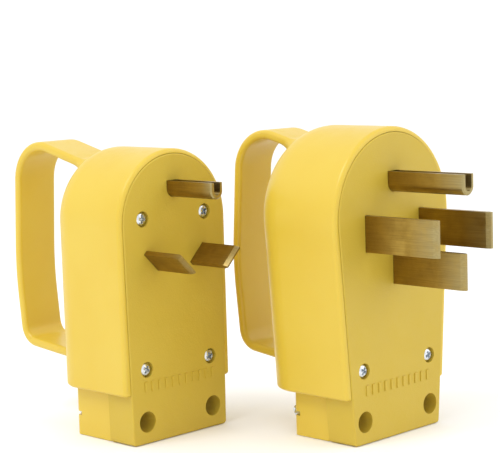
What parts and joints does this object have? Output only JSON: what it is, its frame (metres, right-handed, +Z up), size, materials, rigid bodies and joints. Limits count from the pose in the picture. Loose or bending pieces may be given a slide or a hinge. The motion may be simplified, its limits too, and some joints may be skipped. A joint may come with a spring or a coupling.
{
  "type": "grip-handled trailer supply plug pair",
  "caption": "Pair of yellow grip-handled trailer supply plugs, one four-pole and one three-pole, each a hollow shell with a strap handle, flat brass contacts and a split cord clamp.",
  "frame": {"origin": "middle of the floor under both standing plugs (centre of the set's box, at its bottom)", "axes": "+Z up; the contacts of both plugs point to -Y and the strap handles to +Y; +X to the right seen from the contacts' side"},
  "size_m": [0.1054, 0.177, 0.11],
  "materials": {
    "shell_yellow": "satin",
    "plate_yellow": "fine matte grain",
    "black_insulator": "matte",
    "brass_contact": "dull, rubbed at the tips",
    "brass_lug": "machined",
    "brass_screw": "turned",
    "green_screw": "passivated green",
    "zinc_steel": "bright zinc"
  },
  "bodies": {
    "plug50": {"plug50_rear_shell": "shell_yellow", "plug50_face_plate": "plate_yellow", "plug50_face_screws": "zinc_steel", "plug50_ground_pin": "brass_contact", "plug50_blade_retainer": "black_insulator", "plug50_retainer_screws": "zinc_steel", "plug50_line_left_blade": "brass_contact", "plug50_line_right_blade": "brass_contact", "plug50_neutral_blade": "brass_contact", "plug50_line_left_lug": "brass_lug", "plug50_line_right_lug": "brass_lug", "plug50_neutral_lug": "brass_lug", "plug50_ground_lug": "brass_lug"},
    "plug50_clamp": {"plug50_rear_jaw": "shell_yellow", "plug50_clamp_nuts": "zinc_steel"},
    "plug50_clamp_screw_left": {"plug50_clamp_screw_left": "zinc_steel"},
    "plug50_clamp_screw_right": {"plug50_clamp_screw_right": "zinc_steel"},
    "plug50_line_left_saddle": {"plug50_line_left_saddle": "zinc_steel"},
    "plug50_line_left_screw": {"plug50_line_left_screw": "brass_screw"},
    "plug50_line_right_saddle": {"plug50_line_right_saddle": "zinc_steel"},
    "plug50_line_right_screw": {"plug50_line_right_screw": "brass_screw"},
    "plug50_neutral_saddle": {"plug50_neutral_saddle": "zinc_steel"},
    "plug50_neutral_screw": {"plug50_neutral_screw": "zinc_steel"},
    "plug50_ground_saddle": {"plug50_ground_saddle": "zinc_steel"},
    "plug50_ground_screw": {"plug50_ground_screw": "green_screw"},
    "plug30": {"plug30_rear_shell": "shell_yellow", "plug30_face_plate": "plate_yellow", "plug30_face_screws": "zinc_steel", "plug30_ground_pin": "brass_contact", "plug30_blade_retainer": "black_insulator", "plug30_retainer_screws": "zinc_steel", "plug30_hot_blade": "brass_contact", "plug30_neutral_blade": "brass_contact", "plug30_hot_lug": "brass_lug", "plug30_neutral_lug": "brass_lug", "plug30_ground_lug": "brass_lug"},
    "plug30_clamp": {"plug30_rear_jaw": "shell_yellow", "plug30_clamp_nuts": "zinc_steel"},
    "plug30_clamp_screw_left": {"plug30_clamp_screw_left": "zinc_steel"},
    "plug30_clamp_screw_right": {"plug30_clamp_screw_right": "zinc_steel"},
    "plug30_hot_saddle": {"plug30_hot_saddle": "zinc_steel"},
    "plug30_hot_screw": {"plug30_hot_screw": "brass_screw"},
    "plug30_neutral_saddle": {"plug30_neutral_saddle": "zinc_steel"},
    "plug30_neutral_screw": {"plug30_neutral_screw": "zinc_steel"},
    "plug30_ground_saddle": {"plug30_ground_saddle": "zinc_steel"},
    "plug30_ground_screw": {"plug30_ground_screw": "green_screw"}
  },
  "joints": [
    {"name": "plug50_clamp_screw_left_turn", "type": "hinge", "parent": "plug50", "child": "plug50_clamp_screw_left", "pos_m": [0.00315, -0.0464, 0.0079], "axis": [0, -1, 0], "range_deg": [0, 1800]},
    {"name": "plug50_clamp_screw_right_turn", "type": "hinge", "parent": "plug50", "child": "plug50_clamp_screw_right", "pos_m": [0.03935, -0.0464, 0.0079], "axis": [0, -1, 0], "range_deg": [0, 1800]},
    {"name": "plug50_clamp_slide", "type": "slide", "parent": "plug50", "child": "plug50_clamp", "axis": [0, 1, 0], "range_m": [0, 0.0035]},
    {"name": "plug50_line_left_saddle_slide", "type": "slide", "parent": "plug50", "child": "plug50_line_left_saddle", "axis": [0, -1, 0], "range_m": [0, 0.004]},
    {"name": "plug50_line_left_screw_turn", "type": "hinge", "parent": "plug50_line_left_saddle", "child": "plug50_line_left_screw", "pos_m": [0.00645, -0.0364, 0.0737], "axis": [0, -1, 0], "range_deg": [0, 1800]},
    {"name": "plug50_line_right_saddle_slide", "type": "slide", "parent": "plug50", "child": "plug50_line_right_saddle", "axis": [0, -1, 0], "range_m": [0, 0.004]},
    {"name": "plug50_line_right_screw_turn", "type": "hinge", "parent": "plug50_line_right_saddle", "child": "plug50_line_right_screw", "pos_m": [0.03605, -0.0364, 0.0737], "axis": [0, -1, 0], "range_deg": [0, 1800]},
    {"name": "plug50_neutral_saddle_slide", "type": "slide", "parent": "plug50", "child": "plug50_neutral_saddle", "axis": [0, -1, 0], "range_m": [0, 0.004]},
    {"name": "plug50_neutral_screw_turn", "type": "hinge", "parent": "plug50_neutral_saddle", "child": "plug50_neutral_screw", "pos_m": [0.02125, -0.0364, 0.0609], "axis": [0, -1, 0], "range_deg": [0, 1800]},
    {"name": "plug50_ground_saddle_slide", "type": "slide", "parent": "plug50", "child": "plug50_ground_saddle", "axis": [0, -1, 0], "range_m": [0, 0.004]},
    {"name": "plug50_ground_screw_turn", "type": "hinge", "parent": "plug50_ground_saddle", "child": "plug50_ground_screw", "pos_m": [0.02125, -0.0364, 0.0908], "axis": [0, -1, 0], "range_deg": [0, 1800]},
    {"name": "plug30_lift", "type": "slide", "parent": "plug50", "child": "plug30", "axis": [0, 0, 1], "range_m": [0, 0.15]},
    {"name": "plug30_clamp_screw_left_turn", "type": "hinge", "parent": "plug30", "child": "plug30_clamp_screw_left", "pos_m": [-0.04295, 0.0156, 0.0078], "axis": [0, -1, 0], "range_deg": [0, 1800]},
    {"name": "plug30_clamp_screw_right_turn", "type": "hinge", "parent": "plug30", "child": "plug30_clamp_screw_right", "pos_m": [-0.01055, 0.0156, 0.0078], "axis": [0, -1, 0], "range_deg": [0, 1800]},
    {"name": "plug30_clamp_slide", "type": "slide", "parent": "plug30", "child": "plug30_clamp", "axis": [0, 1, 0], "range_m": [0, 0.0035]},
    {"name": "plug30_hot_saddle_slide", "type": "slide", "parent": "plug30", "child": "plug30_hot_saddle", "axis": [0, -1, 0], "range_m": [0, 0.004]},
    {"name": "plug30_hot_screw_turn", "type": "hinge", "parent": "plug30_hot_saddle", "child": "plug30_hot_screw", "pos_m": [-0.0378, 0.0256, 0.065], "axis": [0, -1, 0], "range_deg": [0, 1800]},
    {"name": "plug30_neutral_saddle_slide", "type": "slide", "parent": "plug30", "child": "plug30_neutral_saddle", "axis": [0, -1, 0], "range_m": [0, 0.004]},
    {"name": "plug30_neutral_screw_turn", "type": "hinge", "parent": "plug30_neutral_saddle", "child": "plug30_neutral_screw", "pos_m": [-0.0157, 0.0256, 0.065], "axis": [0, -1, 0], "range_deg": [0, 1800]},
    {"name": "plug30_ground_saddle_slide", "type": "slide", "parent": "plug30", "child": "plug30_ground_saddle", "axis": [0, -1, 0], "range_m": [0, 0.004]},
    {"name": "plug30_ground_screw_turn", "type": "hinge", "parent": "plug30_ground_saddle", "child": "plug30_ground_screw", "pos_m": [-0.02675, 0.0256, 0.08975], "axis": [0, -1, 0], "range_deg": [0, 1800]}
  ],
  "couplings": [
    {"joint": "plug50_clamp_screw_left_turn", "follows": "plug50_clamp_slide", "rad_per_m": 8976},
    {"joint": "plug50_clamp_screw_right_turn", "follows": "plug50_clamp_slide", "rad_per_m": 8976},
    {"joint": "plug50_line_left_screw_turn", "follows": "plug50_line_left_saddle_slide", "rad_per_m": 7854},
    {"joint": "plug50_line_right_screw_turn", "follows": "plug50_line_right_saddle_slide", "rad_per_m": 7854},
    {"joint": "plug50_neutral_screw_turn", "follows": "plug50_neutral_saddle_slide", "rad_per_m": 7854},
    {"joint": "plug50_ground_screw_turn", "follows": "plug50_ground_saddle_slide", "rad_per_m": 7854},
    {"joint": "plug30_clamp_screw_left_turn", "follows": "plug30_clamp_slide", "rad_per_m": 8976},
    {"joint": "plug30_clamp_screw_right_turn", "follows": "plug30_clamp_slide", "rad_per_m": 8976},
    {"joint": "plug30_hot_screw_turn", "follows": "plug30_hot_saddle_slide", "rad_per_m": 7854},
    {"joint": "plug30_neutral_screw_turn", "follows": "plug30_neutral_saddle_slide", "rad_per_m": 7854},
    {"joint": "plug30_ground_screw_turn", "follows": "plug30_ground_saddle_slide", "rad_per_m": 7854}
  ]
}
